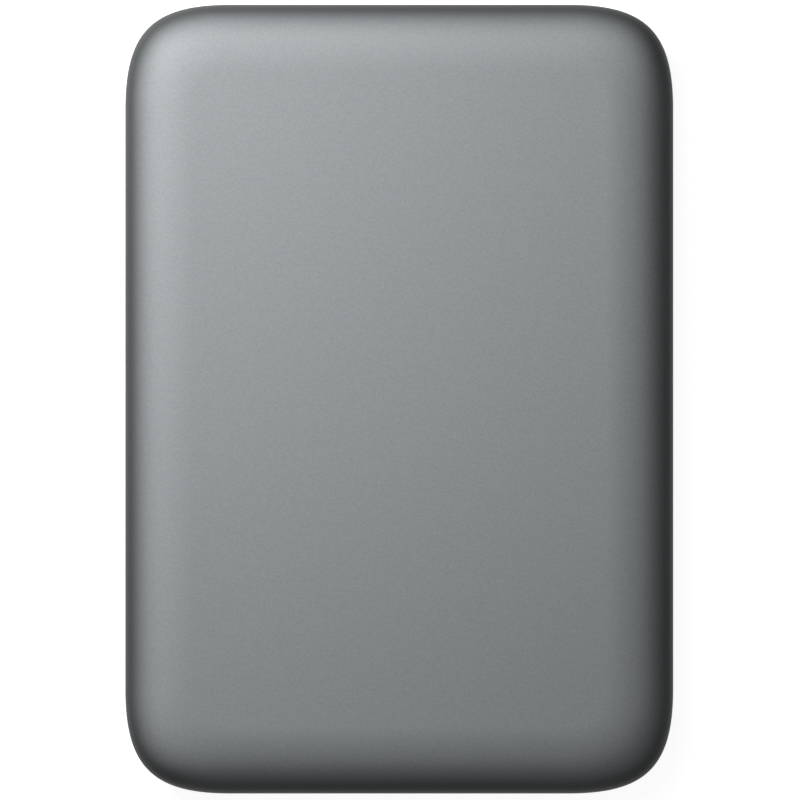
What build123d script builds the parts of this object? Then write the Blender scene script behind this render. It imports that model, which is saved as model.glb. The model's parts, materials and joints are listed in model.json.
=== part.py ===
from build123d import *
import os
from math import acos, atan2, cos, degrees, radians, sin, sqrt

# Portable hard drive: a 2.5-inch disc drive and a USB bridge board in a two-piece snap case.
# Lies flat on its feet: X is the width, +Y the port end, Z up, all in millimetres.

# Drive mechanism, to the 2.5-inch form factor
drive_width = 69.85
drive_corner = 4.0
drive_wall = 2.0
shroud_wall = 1.625
pivot_from_side = 19.925
pivot_from_front = 29.625
bay_from_side = 6.925
bay_corner = 3.0
rail_width = 4.4
base_floor = 0.55
base_pocket = 0.3
pocket_from_back = 4.0
lid_thickness = 0.6
lid_margin = 0.6
lid_ring_inset = 4.5
lid_ring_width = 1.6
lid_press = 0.2
gasket_thickness = 0.4
gasket_inset = 0.1
gasket_step = 0.3
side_hole_from_front = 14.0
side_hole_from_back = 9.75
side_hole_height = 3.0
side_hole_radius = 1.5
side_hole_depth = 1.2

# Drive board and the small screws
chip_height = 0.7
chip_skin = 0.05
drive_board_thickness = 0.7
board_gap = 0.3
board_overlap = 4.3
lid_screw_from_side = 3.6
lid_screw_from_end = 3.4
lid_screw_wall = 2.25
lid_screw_shank = 0.8
lid_screw_head = 1.5
lid_screw_sink = 0.35
lid_screw_length = 2.2
board_screw_from_rail = 1.725
board_screw_wall = 2.05
board_screw_from_bay = 0.95
board_screw_from_front = 3.2
board_screw_shank = 0.7
board_screw_head = 1.3
board_screw_length = 1.4
board_screw_gap = 0.5
screw_clearance = 0.1
screw_socket = 0.25

# Discs and heads, stacked up from the floor of the drive
disc_bore = 20.0
disc_thickness = 0.64
disc_shroud = 0.8
arm_clearance = 0.15
outer_arm = 0.3
middle_arm = 0.4
head_gap = 0.4
lid_clearance = 0.37

# Spindle motor
hub_gap = 0.1
hub_flange = 2.2
hub_flange_thickness = 0.7
hub_skirt_wall = 0.9
hub_roof = 1.08
hub_step = 0.05
shaft_radius = 1.5
bearing_gap = 0.05
thrust_gap = 0.1
thrust_cap_thickness = 0.25
sleeve_wall = 1.45
boss_wall = 1.2
boss_foot = 1.0
magnet_wall = 1.1
magnet_overhang = 0.1
motor_air_gap = 0.3
motor_floor = 0.6
motor_recess_gap = 0.9
motor_floor_gap = 0.4
stator_rise = 0.75
stator_height = 1.3
stator_slots = 9
core_wall = 0.9
tooth_width = 0.9
tooth_shoe = 0.5
shoe_half_angle = 15.0
winding = 0.3
winding_side = 0.5
winding_gap = 0.05
clamp_thickness = 0.4
clamp_overlap = 1.6
clamp_bore = 3.0
clamp_screws_around = 4
clamp_screw_circle = 12.0
clamp_screw_shank = 0.8
clamp_screw_head = 1.4
clamp_screw_rise = 0.3

# Actuator and its voice-coil motor
barrel_radius = 4.6
barrel_gap = 1.715
barrel_wall = 1.2
pivot_wall = 1.85
arm_inset = 4.815
park_gap = 2.1
track_gap = 2.9
arm_root_width = 8.0
arm_tip_width = 4.4
arm_hole = 1.3
suspension_length = 13.0
suspension_overlap = 4.5
suspension_width = 3.8
suspension_tip = 1.2
suspension_thickness = 0.12
lift_tab = 2.6
lift_tab_width = 0.8
slider_height = 0.23
slider_length = 0.85
slider_width = 0.7
coil_park = 55.0
coil_inner = 9.5
coil_outer = 19.5
coil_half_angle = 20.0
coil_band = 3.0
coil_thickness = 1.0
coil_rim = 0.7
magnet_thickness = 0.6
magnet_inset = 0.5
magnet_end = 3.0
yoke_thickness = 0.6
yoke_inside = 0.9
yoke_outside = 0.4
yoke_end_angle = 0.5
yoke_post_radius = 1.3
yoke_post_gap = 0.7
yoke_ear = 0.6
yoke_ear_root = 3.0
stop_radius = 1.2
stop_gap = 0.3
stop_from_barrel = 1.4
ramp_gap = 0.6
ramp_wall = 2.6
ramp_fin = 1.7
ramp_lift = 0.08
ramp_before = 3.5
ramp_after = 4.0
filter_height = 3.2
breather_height = 2.4
breather_width = 7.0
breather_length = 9.0
breather_from_side = 1.5
breather_from_front = 3.5
flex_reach = 17.0
flex_from_front = 7.0
flex_from_breather = 3.5
flex_foot = 1.6
flex_foot_length = 8.0
flex_head = 3.4
flex_head_width = 2.4
flex_head_length = 4.0
flex_thickness = 0.15
flex_gap = 0.1

# Bridge board and its connectors
sata_offset = -4.0
sata_width = 36.0
sata_plug_depth = 5.0
sata_plug_gap = 0.175
sata_plug_wall = 0.8
sata_notch_gap = 0.2
sata_height = 4.2
sata_drop = 0.25
sata_back = 1.4
sata_tongue = 1.2
sata_tongue_length = 3.5
sata_signal = 10.4
sata_key = 0.7
sata_margin = 2.15
sata_clearance = 0.1
socket_overlap = 2.2
socket_heel = 1.4
bridge_thickness = 1.0
bridge_width = 52.0
bridge_end_gap = 0.5
bridge_post_radius = 1.6
bridge_post_from_side = 3.0
bridge_post_from_back = 2.2
port_offset = 10.0
port_main = 7.6
port_side = 4.8
port_main_cut = 0.8
port_side_cut = 0.5
port_height = 2.6
port_depth = 6.9
port_sunk = 0.3
port_skin = 0.3
port_gap = 0.1
port_back_wall = 1.2
port_tongue = 0.6
port_tongue_raise = 0.2
port_tongue_short = 1.0
port_main_room = 1.3
port_side_room = 0.9
contact_width = 0.3
contact_thickness = 0.12
contact_short = 0.4
main_pitch = 0.8
side_pitch = 0.55
light_offset = -4.0
light_radius = 0.8
light_rise = 0.3
light_from_edge = 2.0
light_sunk = 0.1

# Case round the drive
wall = 1.6
side_room = 3.975
far_room = 3.525
port_room = 9.525
corner_reach = 15.4
corner_pull = 4.0
top_edge_run = 10.2
bottom_edge_run = 5.0
cover_land = 3.2
tray_land = 1.0
edge_steps = 4
lip_height = 1.2
lip_gap = 0.05
parting_step = 0.25
snap_length = 6.0
snap_depth = 0.3
snap_thickness = 0.4
snap_gap = 0.15
snap_from_port = 2.8
snap_from_end = 28.3
tray_seat = 1.0
bumper_foot = 0.8
bumper_rise = 5.2
bumper_length = 12.0
bumper_reach = 3.4
bumper_backing = 1.5
bumper_edge = 0.8
peg_gap = 0.1
peg_short = 0.2
foam_thickness = 1.0
foam_width = 10.0
foam_length = 64.0
foam_overhang = 2.0
foam_offset = 19.0
cover_rib = 1.4
rib_thickness = 1.4
cross_rib_pitch = 22.4
foot_radius = 4.0
foot_proud = 0.4
foot_recess = 0.6
foot_edge = 0.2
foot_inset_x = 15.5
foot_inset_y = 16.3

# Drive sizes that follow from its width: the discs fill it and the actuator swings ahead of them
disc_radius = drive_width / 2 - shroud_wall - disc_shroud
cavity_radius = disc_radius + disc_shroud
pivot_distance = disc_radius + barrel_gap + barrel_radius
pivot_right = drive_width / 2 - pivot_from_side
pivot_ahead = sqrt(pivot_distance**2 - pivot_right**2)
drive_length = drive_width / 2 + pivot_ahead + pivot_from_front
arm_length = pivot_distance - arm_inset
park_radius = disc_radius + park_gap
inner_track = disc_bore / 2 + clamp_overlap + track_gap

# Case sizes that follow from the drive inside it
case_width = drive_width + 2 * (side_room + wall)
case_length = far_room + drive_length + port_room + 2 * wall
drive_y = (far_room - port_room) / 2
case_bottom = foot_proud
tray_floor = case_bottom + wall
seat_top = tray_floor + tray_seat
drive_z = seat_top + bumper_foot

# Heights inside the drive
board_bottom = drive_z + chip_skin + chip_height
board_top = board_bottom + drive_board_thickness
floor_top = board_top + base_floor
arm_bottom = [floor_top + arm_clearance]
arm_top = [arm_bottom[0] + outer_arm]
disc_bottom = [arm_top[0] + head_gap]
disc_top = [disc_bottom[0] + disc_thickness]
arm_bottom.append(disc_top[0] + head_gap)
arm_top.append(arm_bottom[1] + middle_arm)
disc_bottom.append(arm_top[1] + head_gap)
disc_top.append(disc_bottom[1] + disc_thickness)
arm_bottom.append(disc_top[1] + head_gap)
arm_top.append(arm_bottom[2] + outer_arm)
lid_bottom = arm_top[2] + lid_clearance
drive_top = lid_bottom + lid_thickness
rim = lid_bottom - gasket_thickness

# Heights of the case and the port
foam_top = drive_top + foam_thickness
roof = foam_top + cover_rib
case_height = roof + wall
plug_bottom = board_bottom - sata_drop
port_z = plug_bottom + sata_height / 2
split = port_z - port_height / 2 - port_gap
top_edge = split + cover_land
bottom_edge = split - tray_land
bridge_bottom = port_z - bridge_thickness / 2
bridge_top = bridge_bottom + bridge_thickness
light_z = bridge_top + light_rise

# Places along the drive
drive_front = drive_y + drive_length / 2
drive_back = drive_y - drive_length / 2
end_wall = case_length / 2 - wall
spindle = (0.0, drive_back + drive_width / 2)
pivot = (spindle[0] + pivot_right, spindle[1] + pivot_ahead)
recess_x = drive_width / 2 - rail_width
lid_screw_x = drive_width / 2 - lid_screw_from_side
lid_screw_ahead = sqrt((cavity_radius + lid_screw_wall) ** 2 - lid_screw_x**2)
board_screw_x = recess_x - board_screw_from_rail
board_screw_ahead = sqrt((cavity_radius + board_screw_wall) ** 2 - board_screw_x**2)
plug_back = drive_front - sata_plug_depth - sata_plug_gap
bay_left = bay_from_side - drive_width / 2
bay_right = drive_width / 2 - drive_wall
bay_back = spindle[1] + board_screw_ahead + board_screw_head + board_screw_gap
bay_front = plug_back - sata_plug_wall
recess_back = bay_back - board_overlap
lid_screw_places = [
    (lid_screw_x * side, y)
    for side in (-1, 1)
    for y in (drive_back + lid_screw_from_end, spindle[1] + lid_screw_ahead, drive_front - lid_screw_from_end)
]
board_screw_places = [
    (-board_screw_x, spindle[1] + board_screw_ahead),
    (board_screw_x, spindle[1] + board_screw_ahead),
    (bay_left - board_screw_from_bay, bay_front - board_screw_from_front),
]
bumper_places = [drive_front - side_hole_from_front, drive_back + side_hole_from_back]

# Actuator angles, from the three sides of the spindle, pivot and head triangle
to_spindle = degrees(atan2(-pivot_ahead, -pivot_right)) + 360


def head_angle(radius):
    """Angle at the pivot between the spindle and a head on this disc radius."""
    sides = pivot_distance**2 + arm_length**2 - radius**2
    return degrees(acos(sides / (2 * pivot_distance * arm_length)))


park_angle = to_spindle - head_angle(park_radius)
swing = head_angle(park_radius) - head_angle(inner_track)
coil_bend = park_angle - coil_park
coil_bottom = (arm_bottom[0] + arm_top[2] - coil_thickness) / 2
lower_magnet = floor_top + yoke_thickness
coil_gap = coil_bottom - lower_magnet - magnet_thickness
upper_magnet = coil_bottom + coil_thickness + coil_gap
upper_yoke = upper_magnet + magnet_thickness
frame_outer = coil_outer + coil_rim
frame_half_angle = coil_half_angle + degrees(coil_rim / coil_inner)
yoke_inner = coil_inner - yoke_inside
yoke_outer = frame_outer + yoke_outside
yoke_start = coil_park - frame_half_angle - yoke_end_angle
yoke_end = coil_park + frame_half_angle + swing + yoke_end_angle
post_circle = yoke_outer + yoke_post_gap + yoke_post_radius
post_angles = [yoke_start + 19, yoke_end + 1]
stop_circle = barrel_radius + stop_from_barrel + stop_radius
stop_turn = degrees((stop_radius + stop_gap) / stop_circle) * 1.02
stop_angles = [coil_park - frame_half_angle - stop_turn, coil_park + frame_half_angle + swing + stop_turn]

os.makedirs("parts", exist_ok=True)


def save(builder, name):
    """Label a finished piece and write its STEP file."""
    builder.part.label = name
    export_step(builder.part, f"parts/{name}.step")


def level(z, place=(0, 0)):
    """Flat plane at height z, with its origin over a place in plan."""
    return Plane((place[0], place[1], z))


def spoke_plane(z, angle):
    """Flat plane at height z on the pivot, with X along an angle in plan."""
    return Plane((pivot[0], pivot[1], z), x_dir=(cos(radians(angle)), sin(radians(angle)), 0))


def round_pivot(radius, angles):
    """Places on a circle round the pivot."""
    return [(radius * cos(radians(angle)), radius * sin(radians(angle))) for angle in angles]


def case_outline(z, inset):
    """Plan outline of the case at height z, drawn in from its widest line."""
    half_x = case_width / 2 - inset
    half_y = case_length / 2 - inset
    reach = corner_reach - inset
    pull = corner_pull * reach / corner_reach
    with BuildSketch(level(z)) as drawn:
        with BuildLine():
            Line((0, half_y), (half_x - reach, half_y))
            Bezier(
                (half_x - reach, half_y),
                (half_x - pull, half_y),
                (half_x, half_y - pull),
                (half_x, half_y - reach),
            )
            Line((half_x, half_y - reach), (half_x, 0))
            mirror(about=Plane.YZ)
            mirror(about=Plane.XZ)
        make_face()
    return drawn.sketch


def pillow_block(inset, start, run, drop, ruled=False):
    """Block that fills the case outline, with edges that roll in along a quarter ellipse."""
    half_x = case_width / 2 - inset
    half_y = case_length / 2 - inset
    reach = corner_reach - inset
    quarter = 90 if drop > 0 else -90
    with BuildPart() as block:
        runs = ((Plane.XZ, half_x, half_y - reach), (Plane.YZ, half_y, half_x - reach))
        for plane, half, straight in runs:
            with BuildSketch(plane):
                with BuildLine():
                    Line((-half, start), (half, start))
                    Line((run - half, start + drop), (half - run, start + drop))
                    EllipticalCenterArc((half - run, start), run, abs(drop), 0, arc_size=quarter)
                    EllipticalCenterArc((run - half, start), run, abs(drop), 180, arc_size=-quarter)
                make_face()
            extrude(amount=straight, both=True)
        for side_x, side_y in ((1, 1), (-1, 1), (-1, -1), (1, -1)):
            for step in range(edge_steps + 1):
                turn = radians(90 * step / edge_steps)
                size = reach - run * (1 - cos(turn))
                pull = size - corner_pull * size / corner_reach
                corner = (side_x * (half_x - reach), side_y * (half_y - reach))
                with BuildSketch(level(start + drop * sin(turn), corner)):
                    with BuildLine():
                        Polyline((side_x * size, 0), (0, 0), (0, side_y * size))
                        Bezier(
                            (0, side_y * size),
                            (side_x * pull, side_y * size),
                            (side_x * size, side_y * pull),
                            (side_x * size, 0),
                        )
                    make_face()
            loft(ruled=ruled)
    return block.part


def ring_sector(plane, inner, outer, start, end):
    """Part of a flat ring about the origin of the plane, between two angles."""
    with BuildSketch(plane) as drawn:
        with BuildLine():
            far = CenterArc((0, 0), outer, start, end - start)
            near = CenterArc((0, 0), inner, start, end - start)
            Line(far @ 0, near @ 0)
            Line(far @ 1, near @ 1)
        make_face()
    return drawn.sketch


def drive_outline(z, inset=0.0):
    """Rounded plan outline of the drive."""
    with BuildSketch(level(z, (0, drive_y))) as drawn:
        RectangleRounded(drive_width - 2 * inset, drive_length - 2 * inset, drive_corner - inset / 2)
    return drawn.sketch


def cavity_outline(z, grow=0.0):
    """Plan outline of the sealed space: the disc shroud and the actuator bay."""
    with BuildSketch(level(z)) as drawn:
        with Locations(spindle):
            Circle(cavity_radius + grow)
        with Locations(((bay_left + bay_right) / 2, (bay_back + bay_front) / 2)):
            RectangleRounded(
                bay_right - bay_left + 2 * grow,
                bay_front - bay_back + 2 * grow,
                bay_corner + grow,
            )
    return drawn.sketch


# Top cover: pillow-edged shell with a rebate for the tray lip, the port notch and hold-down ribs
lip_outside = wall / 2
snap_height = split + lip_height / 2
snap_y = case_length / 2 - snap_from_end
snap_x = port_offset + (port_main + port_side) / 2 + snap_from_port + snap_length / 2
snap_sides = [
    (side * (case_width / 2 - lip_outside), y, snap_height)
    for side in (-1, 1)
    for y in (-snap_y, 0, snap_y)
]
snap_ends = [
    (x, side * (case_length / 2 - lip_outside), snap_height)
    for side in (-1, 1)
    for x in (-snap_x, snap_x)
]
pocket_depth = 2 * (snap_depth + snap_gap)
pocket_length = snap_length + 2 * snap_gap
pocket_height = snap_thickness + 2 * snap_gap
port_top = port_z + port_height / 2 + port_gap

with BuildPart() as top_cover:
    extrude(case_outline(split, 0), amount=top_edge - split)
    add(pillow_block(0, top_edge, top_edge_run, case_height - top_edge))
    extrude(case_outline(split, wall), amount=top_edge - split, mode=Mode.SUBTRACT)
    add(pillow_block(wall, top_edge, top_edge_run - wall, roof - top_edge, ruled=True), mode=Mode.SUBTRACT)
    extrude(case_outline(split, lip_outside - lip_gap), amount=lip_height + lip_gap, mode=Mode.SUBTRACT)
    with BuildSketch(level(split)):
        add(case_outline(0, 0))
        add(case_outline(0, parting_step), mode=Mode.SUBTRACT)
    extrude(amount=parting_step, mode=Mode.SUBTRACT)
    with BuildSketch(level(foam_top)):
        with Locations((-foam_offset, drive_y), (foam_offset, drive_y)):
            Rectangle(rib_thickness, foam_length)
        for step in (-1, 0, 1):
            with Locations((0, drive_y + step * cross_rib_pitch)):
                Rectangle(2 * foam_offset, rib_thickness)
    extrude(amount=cover_rib + wall / 2)
    with BuildSketch(Plane.XZ.offset(wall - end_wall)):
        with Locations((port_offset, (split - port_gap + port_top) / 2)):
            Rectangle(port_main + port_side + 2 * port_gap, port_top - split + port_gap)
        with Locations((light_offset, light_z)):
            Circle(light_radius + lip_gap)
    extrude(amount=-4 * wall, mode=Mode.SUBTRACT)
    with Locations(*snap_sides):
        Box(pocket_depth, pocket_length, pocket_height, mode=Mode.SUBTRACT)
    with Locations(*snap_ends):
        Box(pocket_length, pocket_depth, pocket_height, mode=Mode.SUBTRACT)
save(top_cover, "top_cover")

# Bottom tray: shallow shell with the lip, bumper seats, board posts and foot recesses
foot_places = [
    (x, y)
    for x in (foot_inset_x - case_width / 2, case_width / 2 - foot_inset_x)
    for y in (foot_inset_y - case_length / 2, case_length / 2 - foot_inset_y)
]
bumper_back = drive_width / 2 + side_room - bumper_backing
seat_width = bumper_reach + side_room - bumper_backing
bridge_y = (plug_back + sata_plug_depth + socket_overlap, end_wall - bridge_end_gap)
post_x = bridge_width / 2 - bridge_post_from_side
post_y = bridge_y[0] + bridge_post_from_back

with BuildPart() as bottom_tray:
    extrude(case_outline(bottom_edge, 0), amount=split - bottom_edge)
    add(pillow_block(0, bottom_edge, bottom_edge_run, case_bottom - bottom_edge))
    extrude(case_outline(bottom_edge, wall), amount=split - bottom_edge, mode=Mode.SUBTRACT)
    tray_inside = pillow_block(wall, bottom_edge, bottom_edge_run - wall, tray_floor - bottom_edge, ruled=True)
    add(tray_inside, mode=Mode.SUBTRACT)
    with BuildSketch(level(split - wall)):
        add(case_outline(0, lip_outside))
        add(case_outline(0, wall), mode=Mode.SUBTRACT)
    extrude(amount=wall + lip_height)
    with BuildSketch(level(tray_floor - wall / 2)):
        for side in (-1, 1):
            with Locations(*[(side * (bumper_back - seat_width / 2), y) for y in bumper_places]):
                Rectangle(seat_width, bumper_length)
    extrude(amount=seat_top - tray_floor + wall / 2)
    with BuildSketch(level(tray_floor)):
        for side in (-1, 1):
            with Locations(*[(side * (bumper_back + bumper_backing / 2), y) for y in bumper_places]):
                Rectangle(bumper_backing, bumper_length)
    extrude(amount=split - tray_floor)
    with BuildSketch(level(tray_floor - wall / 2)):
        with Locations((-post_x, post_y), (post_x, post_y)):
            Circle(bridge_post_radius)
    extrude(amount=bridge_bottom - tray_floor + wall / 2)
    with BuildSketch(level(case_bottom)):
        with Locations(*foot_places):
            Circle(foot_radius)
    extrude(amount=foot_recess, mode=Mode.SUBTRACT)
    with BuildSketch(level(split)):
        with Locations((port_offset, end_wall + wall / 2)):
            Rectangle(port_main + port_side + 4 * port_gap, 2 * wall)
    extrude(amount=lip_height + wall, mode=Mode.SUBTRACT)
    with Locations(*snap_sides):
        Box(2 * snap_depth, snap_length, snap_thickness)
    with Locations(*snap_ends):
        Box(snap_length, 2 * snap_depth, snap_thickness)
save(bottom_tray, "bottom_tray")

# Four rubber feet in the recesses under the tray
with BuildPart() as rubber_feet:
    with BuildSketch(level(0)):
        with Locations(*foot_places):
            Circle(foot_radius)
    extrude(amount=foot_proud + foot_recess)
    chamfer(rubber_feet.edges().group_by(Axis.Z)[0], length=foot_edge)
save(rubber_feet, "rubber_feet")

# Soft corner bumpers: an upright pad beside the drive, a foot under it and a peg in its side hole
side_hole_z = drive_z + side_hole_height


def corner_bumper(name, side, y):
    """One bumper, on the side given as -1 or 1."""
    inner = drive_width / 2 - bumper_reach
    with BuildPart() as bumper:
        with BuildSketch(Plane.XZ.offset(bumper_length / 2 - y)):
            with BuildLine():
                Polyline(
                    (side * inner, seat_top),
                    (side * bumper_back, seat_top),
                    (side * bumper_back, drive_z + bumper_rise),
                    (side * drive_width / 2, drive_z + bumper_rise),
                    (side * drive_width / 2, drive_z),
                    (side * inner, drive_z),
                    close=True,
                )
            make_face()
        extrude(amount=-bumper_length)
        with BuildSketch(Plane.YZ.offset(side * drive_width / 2)):
            with Locations((y, side_hole_z)):
                Circle(side_hole_radius - peg_gap)
        extrude(amount=side * (peg_short - side_hole_depth))
        outer_edges = bumper.edges().filter_by(Axis.Z).sort_by(Axis.X, reverse=side > 0)[:2]
        fillet(outer_edges, radius=bumper_edge)
    save(bumper, name)


corner_bumper("bumper_port_left", -1, bumper_places[0])
corner_bumper("bumper_port_right", 1, bumper_places[0])
corner_bumper("bumper_far_left", -1, bumper_places[1])
corner_bumper("bumper_far_right", 1, bumper_places[1])

# Foam strips between the drive lid and the hold-down ribs
with BuildPart() as foam_strips:
    with BuildSketch(level(drive_top)):
        with Locations((-foam_offset, drive_y), (foam_offset, drive_y)):
            Rectangle(foam_width, foam_length + 2 * foam_overhang)
    extrude(amount=foam_thickness)
save(foam_strips, "foam_strips")

# Drive base casting: rails, sealed cavity, board recess, motor boss, plug notch and screw holes
hub_radius = disc_bore / 2 - hub_gap
skirt_inside = hub_radius - hub_skirt_wall
magnet_inside = skirt_inside - magnet_wall
stator_outside = magnet_inside - motor_air_gap
sleeve_outside = shaft_radius + bearing_gap + sleeve_wall
boss_outside = sleeve_outside + boss_wall
cap_bottom = drive_z + base_pocket
cap_top = cap_bottom + thrust_cap_thickness
motor_bottom = cap_bottom + motor_floor
stator_bottom = motor_bottom + stator_rise
boss_top = stator_bottom + stator_height + 0.2
hub_bottom = motor_bottom + motor_floor_gap
hub_top = disc_top[1] - hub_step
hub_ceiling = hub_top - hub_roof
past_front = drive_front + drive_corner

with BuildPart() as drive_base:
    extrude(drive_outline(drive_z), amount=rim - drive_z)
    extrude(cavity_outline(floor_top), amount=rim - floor_top, mode=Mode.SUBTRACT)
    with BuildSketch(level(drive_z)):
        with Locations((0, (recess_back + past_front) / 2)):
            Rectangle(2 * recess_x, past_front - recess_back)
    extrude(amount=board_top - drive_z, mode=Mode.SUBTRACT)
    with BuildSketch(level(drive_z)):
        with Locations((0, (drive_back + pocket_from_back + recess_back) / 2)):
            Rectangle(2 * recess_x, recess_back - drive_back - pocket_from_back)
    extrude(amount=base_pocket, mode=Mode.SUBTRACT)
    with BuildSketch(level(drive_z)):
        with Locations((sata_offset, (plug_back + past_front) / 2)):
            Rectangle(sata_width + 2 * sata_notch_gap, past_front - plug_back)
    extrude(amount=plug_bottom + sata_height + sata_drop + sata_clearance - drive_z, mode=Mode.SUBTRACT)
    with BuildSketch(level(motor_bottom, spindle)):
        Circle(hub_radius + motor_recess_gap)
    extrude(amount=floor_top - motor_bottom, mode=Mode.SUBTRACT)
    with BuildSketch(level(motor_bottom, spindle)):
        Circle(boss_outside + boss_foot)
    extrude(amount=stator_bottom - motor_bottom)
    with BuildSketch(level(motor_bottom, spindle)):
        Circle(boss_outside)
    extrude(amount=boss_top - motor_bottom)
    with BuildSketch(level(drive_z, spindle)):
        Circle(sleeve_outside)
    extrude(amount=boss_top - drive_z, mode=Mode.SUBTRACT)
    for side in (-1, 1):
        with BuildSketch(Plane.YZ.offset(side * drive_width / 2)):
            with Locations(*[(y, side_hole_z) for y in bumper_places]):
                Circle(side_hole_radius)
        extrude(amount=-side * side_hole_depth, mode=Mode.SUBTRACT)
    with BuildSketch(level(rim)):
        with Locations(*lid_screw_places):
            Circle(lid_screw_shank)
    extrude(amount=gasket_thickness - lid_screw_length - 0.7, mode=Mode.SUBTRACT)
    with BuildSketch(level(board_top)):
        with Locations(*board_screw_places):
            Circle(board_screw_shank)
    extrude(amount=board_screw_length + 0.2, mode=Mode.SUBTRACT)
save(drive_base, "drive_base")

# Gasket and stamped lid, with a pressed ring over the discs and sunk screws
with BuildPart() as lid_gasket:
    extrude(drive_outline(rim, lid_margin + gasket_inset), amount=gasket_thickness)
    extrude(cavity_outline(rim, gasket_step), amount=gasket_thickness, mode=Mode.SUBTRACT)
    with BuildSketch(level(rim)):
        with Locations(*lid_screw_places):
            Circle(lid_screw_shank + gasket_step)
    extrude(amount=gasket_thickness, mode=Mode.SUBTRACT)
save(lid_gasket, "lid_gasket")

with BuildPart() as drive_lid:
    extrude(drive_outline(lid_bottom, lid_margin), amount=lid_thickness)
    with BuildSketch(level(drive_top)):
        with Locations(*lid_screw_places):
            Circle(lid_screw_head + screw_clearance)
    extrude(amount=-lid_screw_sink, mode=Mode.SUBTRACT)
    with BuildSketch(level(lid_bottom)):
        with Locations(*lid_screw_places):
            Circle(lid_screw_shank + screw_clearance)
    extrude(amount=lid_thickness, mode=Mode.SUBTRACT)
    with BuildSketch(level(drive_top)):
        with Locations(spindle):
            Circle(disc_radius - lid_ring_inset)
            Circle(disc_radius - lid_ring_inset - lid_ring_width, mode=Mode.SUBTRACT)
        with Locations(pivot):
            Circle(barrel_radius - lid_press - 0.8)
    extrude(amount=-lid_press, mode=Mode.SUBTRACT)
save(drive_lid, "drive_lid")

with BuildPart() as lid_screws:
    with BuildSketch(level(drive_top - lid_screw_sink)):
        with Locations(*lid_screw_places):
            Circle(lid_screw_head)
    extrude(amount=lid_screw_sink)
    with BuildSketch(level(drive_top)):
        with Locations(*lid_screw_places):
            RegularPolygon(lid_screw_head / 2, 6)
    extrude(amount=-screw_socket, mode=Mode.SUBTRACT)
    with BuildSketch(level(drive_top - lid_screw_sink)):
        with Locations(*lid_screw_places):
            Circle(lid_screw_shank)
    extrude(amount=-lid_screw_length)
save(lid_screws, "lid_screws")

# Spindle motor: bearing sleeve and thrust cap, stator with its coils, then the turning hub
with BuildPart() as bearing_sleeve:
    with BuildSketch(level(cap_top, spindle)):
        Circle(sleeve_outside)
        Circle(shaft_radius + bearing_gap, mode=Mode.SUBTRACT)
    extrude(amount=boss_top - cap_top)
save(bearing_sleeve, "bearing_sleeve")

with BuildPart() as thrust_cap:
    with BuildSketch(level(cap_bottom, spindle)):
        Circle(sleeve_outside)
    extrude(amount=thrust_cap_thickness)
save(thrust_cap, "thrust_cap")

core_outside = boss_outside + core_wall
core_bottom = stator_bottom + winding
core_height = stator_height - 2 * winding
shoe_inside = stator_outside - tooth_shoe
with BuildPart() as stator_core:
    with BuildSketch(level(core_bottom, spindle)):
        Circle(core_outside)
        with PolarLocations((core_outside + shoe_inside) / 2, stator_slots):
            Rectangle(shoe_inside - core_outside + tooth_shoe, tooth_width)
        Circle(boss_outside, mode=Mode.SUBTRACT)
    extrude(amount=core_height)
    with BuildSketch(level(stator_bottom, spindle)):
        Circle(core_outside)
        Circle(boss_outside, mode=Mode.SUBTRACT)
    extrude(amount=winding)
    for slot in range(stator_slots):
        turn = 360 * slot / stator_slots
        shoe_start = turn - shoe_half_angle
        shoe_end = turn + shoe_half_angle
        shoe = ring_sector(level(core_bottom, spindle), shoe_inside, stator_outside, shoe_start, shoe_end)
        extrude(shoe, amount=core_height)
save(stator_core, "stator_core")

coil_reach = shoe_inside - core_outside - 3 * winding_gap
coil_middle = core_outside + winding_gap + coil_reach / 2
with BuildPart() as stator_coils:
    with BuildSketch(level(stator_bottom, spindle)):
        with PolarLocations(coil_middle, stator_slots):
            Rectangle(coil_reach, tooth_width + 2 * winding_side)
    extrude(amount=stator_height)
    with BuildSketch(level(core_bottom, spindle)):
        with PolarLocations(coil_middle, stator_slots):
            Rectangle(coil_reach + 2 * winding_side, tooth_width)
    extrude(amount=core_height, mode=Mode.SUBTRACT)
save(stator_coils, "stator_coils")

flange_radius = disc_bore / 2 + hub_flange
with BuildPart() as spindle_hub:
    with BuildSketch(level(hub_bottom, spindle)):
        Circle(hub_radius)
    extrude(amount=hub_top - hub_bottom)
    with BuildSketch(level(disc_bottom[0] - hub_flange_thickness, spindle)):
        Circle(flange_radius)
    extrude(amount=hub_flange_thickness)
    with BuildSketch(level(hub_bottom, spindle)):
        Circle(skirt_inside)
    extrude(amount=hub_ceiling - hub_bottom, mode=Mode.SUBTRACT)
    with BuildSketch(level(hub_ceiling, spindle)):
        Circle(shaft_radius)
        with PolarLocations(clamp_screw_circle / 2, clamp_screws_around):
            Circle(clamp_screw_shank)
    extrude(amount=hub_roof, mode=Mode.SUBTRACT)
save(spindle_hub, "spindle_hub")

with BuildPart() as spindle_shaft:
    with BuildSketch(level(cap_top + thrust_gap, spindle)):
        Circle(shaft_radius)
    extrude(amount=hub_top - cap_top - thrust_gap)
save(spindle_shaft, "spindle_shaft")

with BuildPart() as rotor_magnet:
    with BuildSketch(level(stator_bottom - magnet_overhang, spindle)):
        Circle(skirt_inside)
        Circle(magnet_inside, mode=Mode.SUBTRACT)
    extrude(amount=stator_height + 2 * magnet_overhang)
save(rotor_magnet, "rotor_magnet")


def disc(name, bottom):
    """One disc on the hub."""
    with BuildPart() as platter:
        with BuildSketch(level(bottom, spindle)):
            Circle(disc_radius)
            Circle(disc_bore / 2, mode=Mode.SUBTRACT)
        extrude(amount=disc_thickness)
        chamfer(platter.edges().filter_by(GeomType.CIRCLE), length=disc_thickness / 6)
    save(platter, name)


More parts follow.
